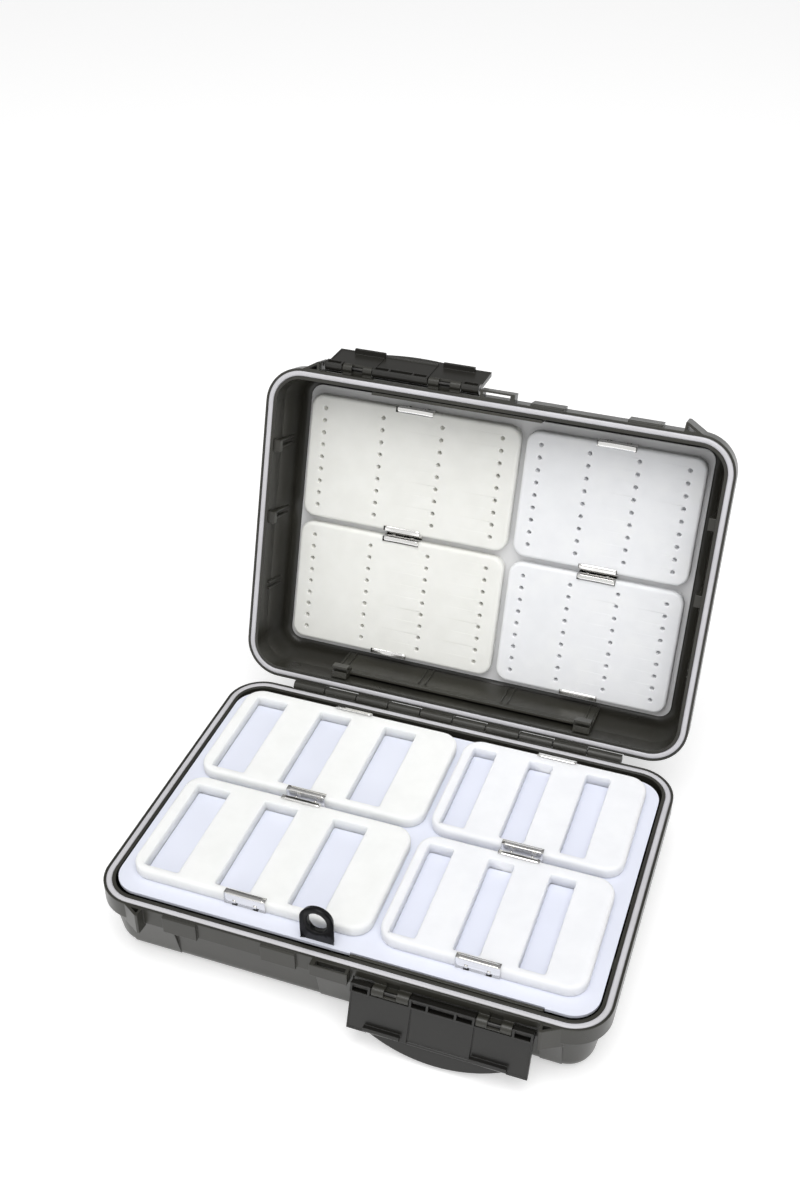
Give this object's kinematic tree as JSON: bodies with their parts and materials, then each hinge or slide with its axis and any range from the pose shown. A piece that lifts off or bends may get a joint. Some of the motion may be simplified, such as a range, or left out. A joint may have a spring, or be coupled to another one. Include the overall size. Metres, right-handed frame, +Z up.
{
  "type": "fly box",
  "caption": "Two-shell waterproof fly case, open on its rear hinge, with latches, a slotted foam tray in the base and pierced foam in the lid.",
  "frame": {"origin": "on the ground plane under the feet, below the middle of the open box's bounding box", "axes": "+X to the right along the front latch edge, +Y from the latch edge to the rear hinge, +Z up from the feet"},
  "size_m": [0.2348, 0.2658, 0.1987],
  "materials": {
    "shell": "satin moulded ABS, dark olive grey",
    "gasket": "smooth pale silicone",
    "foot": "matt black rubber",
    "pin_steel": "drawn steel rod",
    "rail": "satin moulded ABS, dark olive grey",
    "tray_plastic": "satin pale lavender-white sheet",
    "board_plastic": "satin pale blue-white sheet",
    "pad": "soft adhesive pad",
    "foam_warm": "closed-cell foam, warm white",
    "foam_cool": "closed-cell foam, cool white",
    "clip_steel": "bent spring steel sheet",
    "dark_plastic": "black moulded nylon"
  },
  "bodies": {
    "base": {"base_shell": "shell", "base_gasket": "gasket", "base_feet": "foot", "hinge_pin": "pin_steel", "base_latch_pin": "pin_steel", "base_rear_rail": "rail", "base_front_rail": "rail", "tray_plate": "tray_plastic", "tray_foam_front_left": "foam_warm", "tray_foam_front_right": "foam_cool", "tray_foam_rear_left": "foam_warm", "tray_foam_rear_right": "foam_cool", "tray_front_clip_left": "clip_steel", "tray_front_clip_right": "clip_steel", "tray_mid_clip_left": "clip_steel", "tray_mid_clip_right": "clip_steel", "tray_rear_clip_left": "clip_steel", "tray_rear_clip_right": "clip_steel", "tray_hinge_left": "dark_plastic", "tray_hinge_right": "dark_plastic", "tray_pivot_left": "pin_steel", "tray_pivot_right": "pin_steel", "finger_ring": "dark_plastic", "ring_rivets": "dark_plastic"},
    "lid": {"lid_shell": "shell", "lid_gasket": "gasket", "lid_latch_pin": "pin_steel", "lid_rear_rail": "rail", "lid_front_rail": "rail", "lid_board": "board_plastic", "lid_board_pads": "pad", "lid_foam_front_left": "foam_warm", "lid_foam_front_right": "foam_cool", "lid_foam_rear_left": "foam_warm", "lid_foam_rear_right": "foam_cool", "lid_front_clip_left": "clip_steel", "lid_front_clip_right": "clip_steel", "lid_mid_clip_left": "clip_steel", "lid_mid_clip_right": "clip_steel", "lid_rear_clip_left": "clip_steel", "lid_rear_clip_right": "clip_steel"},
    "base_latch": {"base_latch": "shell"},
    "lid_latch": {"lid_latch": "shell"}
  },
  "joints": [
    {"name": "lid_hinge", "type": "hinge", "parent": "base", "child": "lid", "pos_m": [0, 0.04629, 0.0357], "axis": [1, 0, 0], "range_deg": [0, 107.8]},
    {"name": "base_latch_hinge", "type": "hinge", "parent": "base", "child": "base_latch", "pos_m": [0, -0.12361, 0.0298], "axis": [-1, 0, 0], "range_deg": [0, 160.7]},
    {"name": "lid_latch_hinge", "type": "hinge", "parent": "lid", "child": "lid_latch", "pos_m": [0, 0.1048, 0.19536], "axis": [1, 0, 0], "range_deg": [0, 166.1]}
  ]
}
